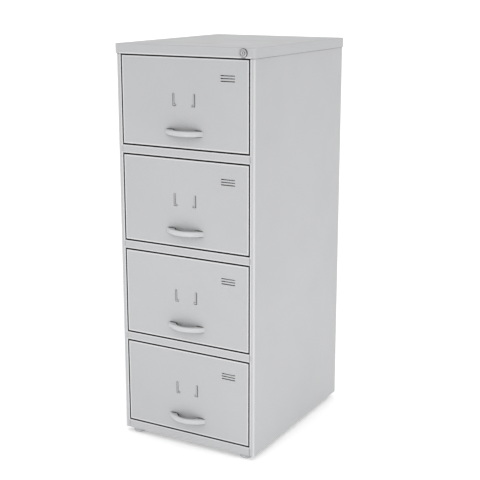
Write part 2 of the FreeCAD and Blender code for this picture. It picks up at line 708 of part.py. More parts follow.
def build_lock():
    save("lock_housing", [lock_housing()])
    save("lock_nut", [lock_nut()])
    save("lock_plug", [lock_plug()])
    save("lock_cam", [lock_cam()])
    save("lock_bar", [lock_bar()])
    rise = BAR_TAB_RISE - GUIDE_DROP - GUIDE_HEIGHT
    guides = [bar_guide(front_bottom(index) + rise) for index in range(DRAWER_COUNT)]
    save("lock_bar_guides", guides)


build_carcass()
build_runners()
build_drawers()
build_lock()
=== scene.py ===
import json
import math

import bmesh
import bpy
from bpy.props import FloatProperty, FloatVectorProperty, IntProperty, PointerProperty
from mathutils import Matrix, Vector


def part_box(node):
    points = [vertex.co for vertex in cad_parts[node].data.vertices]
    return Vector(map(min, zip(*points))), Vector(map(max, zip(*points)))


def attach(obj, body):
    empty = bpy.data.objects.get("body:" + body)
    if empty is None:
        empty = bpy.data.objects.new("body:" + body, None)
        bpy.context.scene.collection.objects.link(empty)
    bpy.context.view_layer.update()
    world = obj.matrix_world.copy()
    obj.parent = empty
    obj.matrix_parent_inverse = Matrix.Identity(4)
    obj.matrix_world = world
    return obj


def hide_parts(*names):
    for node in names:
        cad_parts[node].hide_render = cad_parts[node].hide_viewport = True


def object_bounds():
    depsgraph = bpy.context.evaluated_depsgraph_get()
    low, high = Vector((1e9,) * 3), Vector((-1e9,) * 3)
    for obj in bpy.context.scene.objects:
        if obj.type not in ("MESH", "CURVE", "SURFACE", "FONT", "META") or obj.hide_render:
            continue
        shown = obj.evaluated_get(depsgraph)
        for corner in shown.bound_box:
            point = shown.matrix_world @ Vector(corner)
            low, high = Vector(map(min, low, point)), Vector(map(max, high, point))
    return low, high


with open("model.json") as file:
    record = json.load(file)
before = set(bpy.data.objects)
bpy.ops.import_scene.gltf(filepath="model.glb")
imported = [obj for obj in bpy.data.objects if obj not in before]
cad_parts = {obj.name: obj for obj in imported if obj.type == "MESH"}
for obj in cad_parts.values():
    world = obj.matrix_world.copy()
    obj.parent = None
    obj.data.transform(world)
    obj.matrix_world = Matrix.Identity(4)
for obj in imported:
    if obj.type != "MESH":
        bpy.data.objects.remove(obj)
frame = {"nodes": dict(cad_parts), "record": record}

CAD_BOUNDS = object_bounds()

bl_info = {
    "name": "Steel Filing Cabinet",
    "version": (1, 0, 0),
    "blender": (4, 5, 0),
    "location": "View3D > Sidebar > Cabinet",
    "description": "Paint, handles, lock and feet of a four-drawer steel filing cabinet",
    "category": "Object",
}

DRAWERS = ("top", "second", "third", "bottom")

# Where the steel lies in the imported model, in metres
FLOOR_LEVEL = CAD_BOUNDS[0].z
FRONT_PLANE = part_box("base_rail")[0].y
BACK_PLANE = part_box("left_side_panel")[1].y
CARCASS_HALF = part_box("right_side_panel")[1].x
CAP_SKIRT_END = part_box("top_cap")[0].z

# Gaps beside and between the drawer fronts
SIDE_GAP = 0.003
LEVEL_GAP = 0.004

# Metres over which a mask rises or falls: the forward steel and the cap seam place painted
# highlights, the walls and pressings make the painted gap shade start sooner, and the rear flange
# places the weld marks
FORWARD_STEEL = (0.003, 0.005)  # behind the front plane
CARCASS_WALL = (0.001, 0.0016)  # beyond the level gap
FRONT_WALL = (-0.0045, -0.0040)  # inside a front's outline
PRESSINGS = (-0.062, -0.058)  # over a front's middle
REAR_FLANGE = (-0.0006, -0.0003)  # before the back plane
CAP_SEAM = (0.0, 0.0005)  # over the lower end of the cap's skirt

# Openness at which a painted shade is full and gone, from 0 in a deep corner to 1 on an open face
HOLLOW_RANGE = (0.56, 0.86)
GAP_RANGE = (0.80, 0.985)
CONTACT_RANGE = (0.45, 0.97)
LOCK_RANGE = (0.30, 0.80)

# The middle part of a noise's values, where most of them lie
NOISE_MIDDLE = (0.3, 0.7)

# Ripples of the coat's noises to the metre
CLOUD_SCALE = 2.3
SMUDGE_SCALE = 8.0
PATCH_SCALE = 60
SCUFF_SCALE = 90

# Tones as shares of the coat's colour: the cloud, flecks, scuffs and welds are the coat's own, the
# thin-edge tone is a painted highlight, and the contact and hollow tones are painted shade
CLOUD_TONES = (0.972, 1.022)
FLECK_TONE = 0.86
EDGE_HIGHLIGHT_TONE = 1.10
SCUFF_TONE = 0.80
WELD_TONE = 0.80
CONTACT_SHADE_TONE = 0.48
GAP_SHADE_TONE = 0.02

# How much of the painted rim highlight the front corners take, below the cap and on it
POST_CORNER_HIGHLIGHT = 0.75
CAP_CORNER_HIGHLIGHT = 0.15

# How deep a weld mark is, in heights of the coat's ripples
WELD_DEPTH = 5

# Two points, edges or planes nearer than this count as one
NEAR = 1e-5


def nodes_with_slot(slot):
    """The CAD nodes whose packed material is this slot."""
    found = []
    for node in frame["nodes"].values():
        if node.material_slots[0].material.name == slot:
            found.append(node)
    return found


SLOT_NODES = {row["slot"]: nodes_with_slot(row["slot"]) for row in frame["record"]["materials"]}


# ---- Sizes and colours that can be changed ----

class CabinetPaint(bpy.types.PropertyGroup):
    body_colour: FloatVectorProperty(
        name="Body", description="Powder coat of the carcass", subtype="COLOR",
        size=3, min=0, max=1, default=(0.414, 0.417, 0.425))
    front_colour: FloatVectorProperty(
        name="Drawer fronts", description="Powder coat of the drawer fronts", subtype="COLOR",
        size=3, min=0, max=1, default=(0.410, 0.413, 0.420))
    # Lighter than the fronts' coat, as a painted highlight for the light the bow catches
    handle_colour: FloatVectorProperty(
        name="Handles", description="Powder coat of the handles", subtype="COLOR",
        size=3, min=0, max=1, default=(0.470, 0.474, 0.482))
    inner_colour: FloatVectorProperty(
        name="Insides", description="Thinner coat inside the drawers and the carcass",
        subtype="COLOR", size=3, min=0, max=1, default=(0.395, 0.398, 0.404))
    grain_size: FloatProperty(
        name="Grain", description="Width of one ripple of the coat", unit="LENGTH", default=0.0011)
    grain_depth: FloatProperty(
        name="Grain depth", description="Height of the ripples", unit="LENGTH", default=0.00004)
    roughness: FloatProperty(
        name="Roughness", description="Roughness of the clean coat", min=0, max=1, default=0.42)
    # The thin edge carries a painted highlight in the tone, as well as a glossier coat
    edge_width: FloatProperty(
        name="Thin edge", description="Width of the thinner coat along the folds",
        unit="LENGTH", default=0.0014)
    # The rim, the corner rim and the rim tone make painted highlights round the fronts and on the
    # front corners
    rim_highlight_width: FloatProperty(
        name="Rim", description="Width of the lighter rim round the drawer fronts",
        unit="LENGTH", default=0.0062)
    corner_highlight_width: FloatProperty(
        name="Corner rim", description="Width of the lighter band round the front corners",
        unit="LENGTH", default=0.006)
    rim_highlight_tone: FloatProperty(
        name="Rim tone", description="How much lighter the coat is on the rims",
        min=0, default=1.34)
    # Painted shade, near black, deep in the gaps and slots, and painted contact shade on the fronts
    # round the handles
    gap_shade_reach: FloatProperty(
        name="Hollows", description="Width of the gaps and slots that turn dark",
        unit="LENGTH", default=0.006)
    contact_reach: FloatProperty(
        name="Contact shade", description="How far the handles shade the drawer fronts",
        unit="LENGTH", default=0.05)
    weld_inset: FloatProperty(
        name="Weld row", description="From the side to the row of weld marks",
        unit="LENGTH", default=0.009)
    weld_pitch: FloatProperty(
        name="Weld spacing", description="From one weld mark to the next",
        unit="LENGTH", default=0.11)
    weld_radius: FloatProperty(
        name="Weld radius", description="Radius of a weld mark", unit="LENGTH", default=0.0034)


class CabinetMetal(bpy.types.PropertyGroup):
    zinc_colour: FloatVectorProperty(
        name="Runners", description="Zinc plating of the runners", subtype="COLOR",
        size=3, min=0, max=1, default=(0.47, 0.475, 0.48))
    fixing_colour: FloatVectorProperty(
        name="Fixings", description="Plating of the locking bar, nut and screws", subtype="COLOR",
        size=3, min=0, max=1, default=(0.40, 0.40, 0.39))
    chrome_colour: FloatVectorProperty(
        name="Lock", description="Plating of the lock", subtype="COLOR",
        size=3, min=0, max=1, default=(0.46, 0.46, 0.47))
    foot_colour: FloatVectorProperty(
        name="Feet", description="Moulded plastic of the feet", subtype="COLOR",
        size=3, min=0, max=1, default=(0.40, 0.405, 0.412))


class CabinetHandle(bpy.types.PropertyGroup):
    grip: FloatProperty(
        name="Grip", description="Thickness at the middle of the bow", unit="LENGTH", default=0.006)
    gap_width: FloatProperty(
        name="Gap width", description="Opening between the two feet", unit="LENGTH", default=0.080)
    crown: FloatProperty(
        name="Crown", description="Radius along the bow's outer edges",
        unit="LENGTH", default=0.0044)
    rounding: FloatProperty(
        name="Rounding", description="Radius along the bow's inner edges",
        unit="LENGTH", default=0.0013)
    lug_inset: FloatProperty(
        name="Lug inset", description="From the end of the bow to its lug",
        unit="LENGTH", default=0.015)
    lug_width: FloatProperty(
        name="Lug width", description="Width of a lug's stem", unit="LENGTH", default=0.003)
    lug_height: FloatProperty(
        name="Lug height", description="Height of a lug's stem", unit="LENGTH", default=0.009)
    head_reach: FloatProperty(
        name="Head reach", description="From a lug's stem to its head's edge",
        unit="LENGTH", default=0.003)
    head_depth: FloatProperty(
        name="Head depth", description="Thickness of a lug's head", unit="LENGTH", default=0.002)
    steps: IntProperty(
        name="Steps", description="Divisions along the bow", min=8, max=96, default=40)


class CabinetLock(bpy.types.PropertyGroup):
    lip: FloatProperty(
        name="Lip", description="Width of the ring's raised lip", unit="LENGTH", default=0.0022)
    dish: FloatProperty(
        name="Dish", description="Depth of the ring's dish round the plug",
        unit="LENGTH", default=0.0020)
    plug_clearance: FloatProperty(
        name="Plug clearance", description="Gap round the plug", unit="LENGTH", default=0.00025)
    barrel_radius: FloatProperty(
        name="Barrel", description="Radius of the barrel behind the ring",
        unit="LENGTH", default=0.008)
    steps: IntProperty(
        name="Steps", description="Divisions round the lock", min=24, max=192, default=72)


class CabinetFoot(bpy.types.PropertyGroup):
    radius: FloatProperty(
        name="Radius", description="Radius of a foot", unit="LENGTH", default=0.020)
    groove: FloatProperty(
        name="Groove", description="Depth of the moulded groove", unit="LENGTH", default=0.0007)
    bore_radius: FloatProperty(
        name="Bore", description="Radius of the screw's hole", unit="LENGTH", default=0.00405)
    bore_end: FloatProperty(
        name="Bore end", description="Height of the hole's lower end", unit="LENGTH", default=0.008)
    steps: IntProperty(
        name="Steps", description="Divisions round a foot", min=16, max=128, default=48)


class CabinetStage(bpy.types.PropertyGroup):
    floor_colour: FloatVectorProperty(
        name="Floor", description="Colour of the floor", subtype="COLOR",
        size=3, min=0, max=1, default=(0.97, 0.97, 0.97))
    floor_size: FloatProperty(
        name="Floor size", description="Length of the floor's sides", unit="LENGTH", default=160.0)
    floor_glow: FloatProperty(
        name="Floor glow", description="Light given out by the light-table floor",
        min=0, default=0.20)
    sky_strength: FloatProperty(
        name="Room light", description="Brightness of the white room", default=1.0)
    top_power: FloatProperty(
        name="Top light", description="Power of the large light overhead",
        unit="POWER", default=1.8)
    fill_power: FloatProperty(
        name="Fill light", description="Power of the light on the right side",
        unit="POWER", default=3.0)
    front_power: FloatProperty(
        name="Front light", description="Power of the light before the drawers",
        unit="POWER", default=9.3)
    side_power: FloatProperty(
        name="Side light", description="Power of the light beside the carcass",
        unit="POWER", default=3.9)
    camera_place: FloatVectorProperty(
        name="Camera", description="Where the camera stands", subtype="TRANSLATION",
        size=3, default=(1.7262, -3.0333, 1.5187))
    azimuth: FloatProperty(
        name="Azimuth", description="Camera's turn round the cabinet", subtype="ANGLE",
        default=math.radians(29.2214))
    pitch: FloatProperty(
        name="Pitch", description="Camera's tilt below level", subtype="ANGLE",
        default=math.radians(13.3211))
    lens: FloatProperty(
        name="Lens", description="Focal length", unit="CAMERA", default=78.27)
    shift: FloatProperty(
        name="Shift", description="Lens shift up the picture", default=-0.03)


# ---- Materials ----

def new_finish(name):
    """A material with its shader and output only, returned with its node tree and shader."""
    material = bpy.data.materials.new(name)
    material.use_nodes = True
    tree = material.node_tree
    return material, tree, tree.nodes["Principled BSDF"]


def add_node(tree, kind, inputs=None, **settings):
    """A new node with its settings, and its sockets given a value or linked."""
    node = tree.nodes.new(kind)
    for key, value in settings.items():
        setattr(node, key, value)
    for key, value in (inputs or {}).items():
        if isinstance(value, bpy.types.NodeSocket):
            tree.links.new(value, node.inputs[key])
        else:
            node.inputs[key].default_value = value
    return node


def noise(tree, scale, detail=2.0, roughness=0.5, stretch=(1, 1, 1), shift=(0, 0, 0)):
    """Noise in the object's own metres; scale is ripples to the metre."""
    place = add_node(tree, "ShaderNodeTexCoord").outputs["Object"]
    mapping = add_node(tree, "ShaderNodeMapping", {
        "Vector": place, "Scale": stretch, "Location": shift})
    texture = add_node(tree, "ShaderNodeTexNoise", {
        "Vector": mapping.outputs["Vector"], "Scale": scale, "Detail": detail,
        "Roughness": roughness})
    return texture.outputs["Fac"]


def to_range(tree, value, low, high, new_low, new_high):
    """A value spread from one range over another, held at its ends."""
    node = add_node(tree, "ShaderNodeMapRange", {
        "Value": value, "From Min": low, "From Max": high, "To Min": new_low, "To Max": new_high})
    return node.outputs["Result"]


def maths(tree, operation, first, second):
    node = add_node(tree, "ShaderNodeMath", {0: first, 1: second}, operation=operation)
    return node.outputs["Value"]


def blend_colour(tree, factor, first, second):
    """Two colours, each a tuple or a socket, mixed by a factor."""
    node = add_node(tree, "ShaderNodeMix", data_type="RGBA")
    for index, value in ((0, factor), (6, first), (7, second)):
        if isinstance(value, bpy.types.NodeSocket):
            tree.links.new(value, node.inputs[index])
        else:
            node.inputs[index].default_value = value
    return node.outputs[2]


def shade(colour, factor):
    """The colour made lighter or darker, as a four-part value."""
    return tuple(min(1.0, part * factor) for part in colour) + (1.0,)


def edge_mask(tree, width):
    """1 along folds and cut edges, where a rounded normal leaves the true one, and 0 on flats."""
    rounded = add_node(tree, "ShaderNodeBevel", {"Radius": width}, samples=4)
    flat = add_node(tree, "ShaderNodeNewGeometry")
    dot = add_node(tree, "ShaderNodeVectorMath", {
        0: rounded.outputs["Normal"], 1: flat.outputs["Normal"]}, operation="DOT_PRODUCT")
    return to_range(tree, dot.outputs["Value"], 0.995, 0.90, 0.0, 1.0)


def open_mask(tree, reach, low, high):
    """1 on open faces, and 0 deep in a gap, slot or corner: the mask for painted shade."""
    hollow = add_node(tree, "ShaderNodeAmbientOcclusion", {"Distance": reach}, samples=8)
    return to_range(tree, hollow.outputs["AO"], low, high, 0.0, 1.0)


def surface_bump(tree, shader, height, distance, strength):
    bump = add_node(tree, "ShaderNodeBump", {
        "Height": height, "Distance": distance, "Strength": strength})
    tree.links.new(bump.outputs["Normal"], shader.inputs["Normal"])


def object_place(tree):
    """The object's own x, y and z in metres."""
    place = add_node(tree, "ShaderNodeTexCoord").outputs["Object"]
    return add_node(tree, "ShaderNodeSeparateXYZ", {"Vector": place}).outputs


def past_plane(tree, axis, plane, span, before, after):
    """A value that goes from before to after over a span of metres past a plane across an axis."""
    start, end = span
    return to_range(tree, object_place(tree)[axis], plane + start, plane + end, before, after)


def wrapped(tree, value, pitch):
    """A value repeated every pitch, from minus to plus half a pitch."""
    half = pitch / 2
    node = add_node(tree, "ShaderNodeMath", {0: value, 1: half, 2: -half}, operation="WRAP")
    return node.outputs["Value"]


def beside_fronts(tree, z_middle):
    """How far outside the nearest drawer front's outline a point is, and how high over its middle.

    The fronts repeat downwards from z_middle. The height is held just short of half a pitch past
    the last fronts, so that no further front is drawn above or below them.
    """
    low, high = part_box("top_drawer_front")
    pitch = low.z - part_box("second_drawer_front")[0].z
    x, y, z = object_place(tree)
    margin = 0.49
    rise = add_node(tree, "ShaderNodeClamp", {
        "Value": maths(tree, "SUBTRACT", z, z_middle),
        "Min": -(len(DRAWERS) - 1 + margin) * pitch, "Max": margin * pitch})
    level = wrapped(tree, rise.outputs["Result"], pitch)
    across = maths(tree, "SUBTRACT", maths(tree, "ABSOLUTE", x, 0), high.x)
    upward = maths(tree, "SUBTRACT", maths(tree, "ABSOLUTE", level, 0), (high.z - low.z) / 2)
    return maths(tree, "MAXIMUM", across, upward), level


def highlight_rim_on_carcass(tree, z_middle, width):
    """1 on the forward steel just outside the gaps round the drawer fronts, where a painted
    highlight lies.
    """
    outside, level = beside_fronts(tree, z_middle)
    reach = SIDE_GAP + width
    near = to_range(tree, outside, reach * 0.7, reach, 1, 0)
    return maths(tree, "MULTIPLY", near, past_plane(tree, "Y", FRONT_PLANE, FORWARD_STEEL, 1, 0))


def highlight_rim_on_front(tree, z_middle, width):
    """1 along the edges of a drawer front, where a painted highlight lies."""
    outside, level = beside_fronts(tree, z_middle)
    return to_range(tree, outside, -width, -width * 0.6, 0, 1)


def walls_on_carcass(tree, z_middle):
    """1 on the carcass's walls of the gaps round the drawer fronts, where the painted shade starts
    sooner.
    """
    outside, level = beside_fronts(tree, z_middle)
    start, end = CARCASS_WALL
    return to_range(tree, outside, LEVEL_GAP + start, LEVEL_GAP + end, 1, 0)


def walls_on_front(tree, z_middle):
    """1 on a drawer front's walls of its gaps, and over its card clips and vents, where the painted
    shade starts sooner.
    """
    outside, level = beside_fronts(tree, z_middle)
    edge = to_range(tree, outside, *FRONT_WALL, 0, 1)
    pressings = to_range(tree, level, *PRESSINGS, 0, 1)
    return maths(tree, "MAXIMUM", edge, pressings)


def corner_highlight(tree, width):
    """Paints a highlight on the carcass's front corners, below the cap more than on it."""
    x, y, z = object_place(tree)
    across = maths(tree, "ABSOLUTE", x, 0)
    side = to_range(tree, across, CARCASS_HALF - width, CARCASS_HALF - width * 0.6, 0, 1)
    front = past_plane(tree, "Y", FRONT_PLANE, (width * 0.5, width), 1, 0)
    below = past_plane(tree, "Z", CAP_SKIRT_END, CAP_SEAM, POST_CORNER_HIGHLIGHT, CAP_CORNER_HIGHLIGHT)
    return maths(tree, "MULTIPLY", maths(tree, "MULTIPLY", side, front), below)


def weld_marks(tree, paint):
    """1 in the shallow spot-weld marks up the rear flanges."""
    x, y, z = object_place(tree)
    row = CARCASS_HALF - paint.weld_inset
    across = maths(tree, "SUBTRACT", maths(tree, "ABSOLUTE", x, 0), row)
    along = wrapped(tree, z, paint.weld_pitch)
    squares = maths(tree, "ADD", maths(tree, "POWER", across, 2), maths(tree, "POWER", along, 2))
    away = maths(tree, "SQRT", squares, 0)
    spot = to_range(tree, away, paint.weld_radius * 0.75, paint.weld_radius, 1, 0)
    return maths(tree, "MULTIPLY", spot, past_plane(tree, "Y", BACK_PLANE, REAR_FLANGE, 0, 1))


def coat_colour(tree, base, paint, shift):
    """The coat's cloudy tone with darker flecks."""
    cloud = noise(tree, CLOUD_SCALE, detail=3, roughness=0.55, shift=shift)
    darker, lighter = (shade(base, tone) for tone in CLOUD_TONES)
    tinted = blend_colour(tree, to_range(tree, cloud, *NOISE_MIDDLE, 0, 1), darker, lighter)
    fleck = noise(tree, 0.55 / paint.grain_size, detail=1)
    return blend_colour(
        tree, to_range(tree, fleck, 0.62, 0.78, 0, 0.35), tinted, shade(base, FLECK_TONE))


def thin_coat_and_highlight(tree, paint, shift):
    """1 along the folds and edges, broken up by noise: a painted highlight in the tone, and a
    thinner, glossier coat in the roughness.
    """
    patch = noise(tree, PATCH_SCALE, detail=3, roughness=0.6, shift=shift)
    broken = to_range(tree, patch, 0.35, 0.65, 0.35, 1)
    return maths(tree, "MULTIPLY", edge_mask(tree, paint.edge_width), broken)


def clear_of_gap_shade(tree, paint, walls):
    """1 on open faces, and 0 in gaps and slots, where painted shade goes; the painted shade starts
    sooner on the walls of the gaps.
    """
    low, high = HOLLOW_RANGE
    if walls:
        deep = walls(tree)
        low = to_range(tree, deep, 0, 1, low, GAP_RANGE[0])
        high = to_range(tree, deep, 0, 1, high, GAP_RANGE[1])
    return open_mask(tree, paint.gap_shade_reach, low, high)


def powder_coat(name, colour, paint, shift=(0, 0, 0), scuffs=0.0, rims=(), walls=None, welds=None,
                contact=False):
    """Fine-textured powder coat: rippled, slightly uneven in tone and gloss, glossier along the
    folds where the coat runs thinner, with a painted highlight along the folds and painted shade
    deep in gaps and slots.

    Walls, welds and each of the rims are functions that make a mask in the material's tree; the
    rims lay painted highlights, the walls make the painted gap shade start sooner, and contact adds
    painted shade round the handles.
    """
    material, tree, shader = new_finish(name)
    base = tuple(colour)
    thin_and_highlight = thin_coat_and_highlight(tree, paint, shift)
    # Painted highlight along the folds and edges
    tone = blend_colour(
        tree, thin_and_highlight, coat_colour(tree, base, paint, shift), shade(base, EDGE_HIGHLIGHT_TONE))
    # Painted highlights on the rims round the fronts and on the front corners
    for rim in rims:
        tone = blend_colour(tree, rim(tree), tone, shade(base, paint.rim_highlight_tone))
    smudge = noise(tree, SMUDGE_SCALE, detail=4, roughness=0.6, shift=shift)
    gloss = to_range(tree, smudge, *NOISE_MIDDLE, paint.roughness - 0.045, paint.roughness + 0.06)
    if scuffs:
        streak = noise(
            tree, SCUFF_SCALE, detail=3, roughness=0.6, stretch=(1, 0.035, 1), shift=shift)
        worn = to_range(tree, streak, 0.60, 0.74, 0, scuffs)
        tone = blend_colour(tree, worn, tone, shade(base, SCUFF_TONE))
        gloss = maths(tree, "SUBTRACT", gloss, maths(tree, "MULTIPLY", worn, 0.14))
    height = noise(tree, 1 / paint.grain_size, roughness=0.45)
    if welds:
        marks = welds(tree)
        tone = blend_colour(tree, marks, tone, shade(base, WELD_TONE))
        height = maths(tree, "SUBTRACT", height, maths(tree, "MULTIPLY", marks, WELD_DEPTH))
    # Painted shade on the fronts round and behind the handles
    if contact:
        clear = open_mask(tree, paint.contact_reach, *CONTACT_RANGE)
        tone = blend_colour(tree, clear, shade(base, CONTACT_SHADE_TONE), tone)
    # Painted shade, near black, deep in the gaps, slots and corners
    clear = clear_of_gap_shade(tree, paint, walls)
    tone = blend_colour(tree, clear, shade(base, GAP_SHADE_TONE), tone)
    gloss = maths(tree, "SUBTRACT", gloss, maths(tree, "MULTIPLY", thin_and_highlight, 0.06))
    tree.links.new(tone, shader.inputs["Base Color"])
    tree.links.new(gloss, shader.inputs["Roughness"])
    shader.inputs["Specular IOR Level"].default_value = 0.42
    surface_bump(tree, shader, height, paint.grain_depth, 0.5)
    return material


def plated_steel(name, colour, roughness, crystals, stretch=(1, 0.03, 1)):
    """Plated sheet steel with drawn streaks and a faint crystal pattern."""
    material, tree, shader = new_finish(name)
    place = add_node(tree, "ShaderNodeTexCoord").outputs["Object"]
    crystal = add_node(tree, "ShaderNodeTexVoronoi", {"Vector": place, "Scale": crystals})
    parts = add_node(tree, "ShaderNodeSeparateColor", {"Color": crystal.outputs["Color"]})
    flake = parts.outputs["Red"]
    tinted = blend_colour(tree, flake, shade(colour, 0.90), shade(colour, 1.06))
    streak = noise(tree, 420, detail=3, roughness=0.6, stretch=stretch)
    stain = to_range(tree, streak, 0.52, 0.75, 0, 0.4)
    stained = blend_colour(tree, stain, tinted, shade(colour, 0.74))
    tree.links.new(stained, shader.inputs["Base Color"])
    drawn = to_range(tree, streak, *NOISE_MIDDLE, roughness - 0.05, roughness + 0.08)
    gloss = maths(tree, "ADD", drawn, maths(tree, "MULTIPLY", flake, 0.06))
    tree.links.new(gloss, shader.inputs["Roughness"])
    shader.inputs["Metallic"].default_value = 1.0
    surface_bump(tree, shader, streak, 0.00002, 0.35)
    return material


def chrome(name, colour):
    """Bright plating with hairline marks, worn edges and painted shade, near black, in its
    recesses.
    """
    material, tree, shader = new_finish(name)
    hair = noise(tree, 2600, stretch=(1, 1, 0.08))
    marks = to_range(tree, hair, 0.60, 0.72, 0, 0.30)
    marked = blend_colour(tree, marks, shade(colour, 1.0), shade(colour, 0.72))
    edges = maths(tree, "MULTIPLY", edge_mask(tree, 0.0005), 0.5)
    worn = blend_colour(tree, edges, marked, shade(colour, 0.88))
    # Painted shade, near black, in the lock's keyway and recesses
    clear = open_mask(tree, 0.004, *LOCK_RANGE)
    deep = blend_colour(tree, clear, shade(colour, 0.08), worn)
    tree.links.new(deep, shader.inputs["Base Color"])
    cloud = noise(tree, 180, detail=3, roughness=0.6)
    tree.links.new(to_range(tree, cloud, *NOISE_MIDDLE, 0.16, 0.30), shader.inputs["Roughness"])
    shader.inputs["Metallic"].default_value = 1.0
    surface_bump(tree, shader, hair, 0.00001, 0.25)
    return material


def moulded_plastic(name, colour):
    """Satin moulded plastic with a fine grain and dusty patches."""
    material, tree, shader = new_finish(name)
    dust = noise(tree, 70, detail=4, roughness=0.65)
    patches = to_range(tree, dust, 0.42, 0.7, 0, 1)
    tinted = blend_colour(tree, patches, shade(colour, 0.96), shade(colour, 1.10))
    tree.links.new(tinted, shader.inputs["Base Color"])
    tree.links.new(to_range(tree, dust, *NOISE_MIDDLE, 0.48, 0.64), shader.inputs["Roughness"])
    shader.inputs["Specular IOR Level"].default_value = 0.4
    surface_bump(tree, shader, noise(tree, 1500), 0.00005, 0.5)
    return material


def give(piece, material):
    """The material in the object's first slot, or a new slot when it has none."""
    if piece.material_slots:
        piece.material_slots[0].material = material
    else:
        piece.data.materials.append(material)


# ---- Modelling by hand ----

def deselect_all():
    bpy.ops.object.select_all(action="DESELECT")


def start_from_point(name, point):
    """A plane primitive merged to one vertex at the point, left in edit mode to be traced on."""
    deselect_all()
    bpy.ops.mesh.primitive_plane_add(size=0.001, location=(0, 0, 0))
    piece = bpy.context.object
    piece.name = name
    piece.data.name = name
    bpy.ops.object.mode_set(mode="EDIT")
    bpy.ops.mesh.merge(type="CENTER")
    bpy.ops.mesh.select_all(action="SELECT")
    bpy.ops.transform.translate(value=point)
    return piece


def trace(points):
    """Extrudes the selected vertex along the points, one after another."""
    for start, end in zip(points, points[1:]):
        step = Vector(end) - Vector(start)
        bpy.ops.mesh.extrude_vertices_move(TRANSFORM_OT_translate={"value": step})


def select_where(piece, kind, test):
    """In edit mode, selects the edges or faces whose middle passes the test."""
    mesh = bmesh.from_edit_mesh(piece.data)
    bpy.context.tool_settings.mesh_select_mode = (False, kind == "edges", kind == "faces")
    for group in (mesh.verts, mesh.edges, mesh.faces):
        for item in group:
            item.select = False
    found = 0
    for item in getattr(mesh, kind):
        middle = sum((corner.co for corner in item.verts), Vector()) / len(item.verts)
        if test(middle):
            item.select_set(True)
            found += 1
    if not found:
        raise RuntimeError(f"{piece.name} has no {kind} where some should be shaped")
    mesh.select_flush_mode()
    bmesh.update_edit_mesh(piece.data)


def merge_doubles():
    """In edit mode, merges points that lie together, and leaves the whole mesh selected."""
    bpy.ops.mesh.select_all(action="SELECT")
    bpy.ops.mesh.remove_doubles(threshold=NEAR)
    bpy.ops.mesh.select_all(action="SELECT")


def turned(name, profile, centre, axis, steps):
    """A shape turned round an axis through the centre; a profile point is (radius, height)."""
    across = Vector((1, 0, 0))
    points = [centre + across * radius + Vector(axis) * height for radius, height in profile]
    piece = start_from_point(name, points[0])
    trace(points)
    bpy.ops.mesh.select_all(action="SELECT")
    bpy.ops.mesh.spin(steps=steps, angle=2 * math.pi, center=centre, axis=axis)
    merge_doubles()
    bpy.ops.mesh.normals_make_consistent(inside=False)
    bpy.ops.object.mode_set(mode="OBJECT")
    return piece


def use_alone(piece):
    """Makes the piece the active object and the only one selected."""
    deselect_all()
    piece.select_set(True)
    bpy.context.view_layer.objects.active = piece


def join(piece, others):
    """Joins other objects into the piece."""
    use_alone(piece)
    for other in others:
        other.select_set(True)
    bpy.ops.object.join()


def round_off(piece, width, segments, angle):
    """Rounds the sharp edges with a bevel."""
    use_alone(piece)
    modifier = piece.modifiers.new("edges", "BEVEL")
    modifier.width = width
    modifier.segments = segments
    modifier.limit_method = "ANGLE"
    modifier.angle_limit = math.radians(angle)
    bpy.ops.object.modifier_apply(modifier=modifier.name)


def smooth(piece, angle):
    """Shades the piece smooth, except across edges sharper than the angle."""
    use_alone(piece)
    bpy.ops.object.shade_smooth_by_angle(angle=math.radians(angle))


def copy_moved(piece, name, offset):
    """A copy with its own mesh, its place kept in the mesh."""
    use_alone(piece)
    bpy.ops.object.duplicate(linked=False)
    twin = bpy.context.object
    twin.name = name
    twin.data.name = name
    bpy.ops.transform.translate(value=offset)
    bpy.ops.object.transform_apply(location=True, rotation=True, scale=True)
    return twin


# ---- Operators ----

class CABINET_OT_painted_steel(bpy.types.Operator):
    """Powder coats the carcass, the drawer fronts and the insides"""
    bl_idname = "cabinet.painted_steel"
    bl_label = "Painted steel"

    def execute(self, context):
        paint = context.scene.cabinet_paint
        top_middle = self.middle("top")
        body = powder_coat(
            "body_powder_coat", paint.body_colour, paint,
            rims=(
                lambda tree: highlight_rim_on_carcass(tree, top_middle, paint.rim_highlight_width),
                lambda tree: corner_highlight(tree, paint.corner_highlight_width),
            ),
            walls=lambda tree: walls_on_carcass(tree, top_middle),
            welds=lambda tree: weld_marks(tree, paint))
        for node in SLOT_NODES["body_paint"]:
            give(node, body)
        for index, drawer in enumerate(DRAWERS):
            middle = self.middle(drawer)
            front = powder_coat(
                drawer + "_front_powder_coat", paint.front_colour, paint,
                shift=(0, 0, 3.7 * index),
                rims=(lambda tree: highlight_rim_on_front(tree, middle, paint.rim_highlight_width),),
                walls=lambda tree: walls_on_front(tree, middle),
                contact=True)
            give(frame["nodes"][drawer + "_drawer_front"], front)
        inner = powder_coat("inner_powder_coat", paint.inner_colour, paint, scuffs=0.35)
        for node in SLOT_NODES["inner_paint"]:
            give(node, inner)
        return {"FINISHED"}

    def middle(self, drawer):
        """The height of the middle of a drawer front."""
        low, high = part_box(drawer + "_drawer_front")
        return (low.z + high.z) / 2


class CABINET_OT_plated_parts(bpy.types.Operator):
    """Plates the runners, the locking bar, the fixings and the lock"""
    bl_idname = "cabinet.plated_parts"
    bl_label = "Plated parts"

    def execute(self, context):
        metal = context.scene.cabinet_metal
        finishes = {
            "runner_steel": plated_steel("runner_zinc", metal.zinc_colour, 0.34, 260),
            "fixing_steel": plated_steel(
                "fixing_zinc", metal.fixing_colour, 0.40, 420, stretch=(1, 1, 0.05)),
            "lock_chrome": chrome("lock_plating", metal.chrome_colour),
        }
        for slot, material in finishes.items():
            for node in SLOT_NODES[slot]:
                give(node, material)
        return {"FINISHED"}


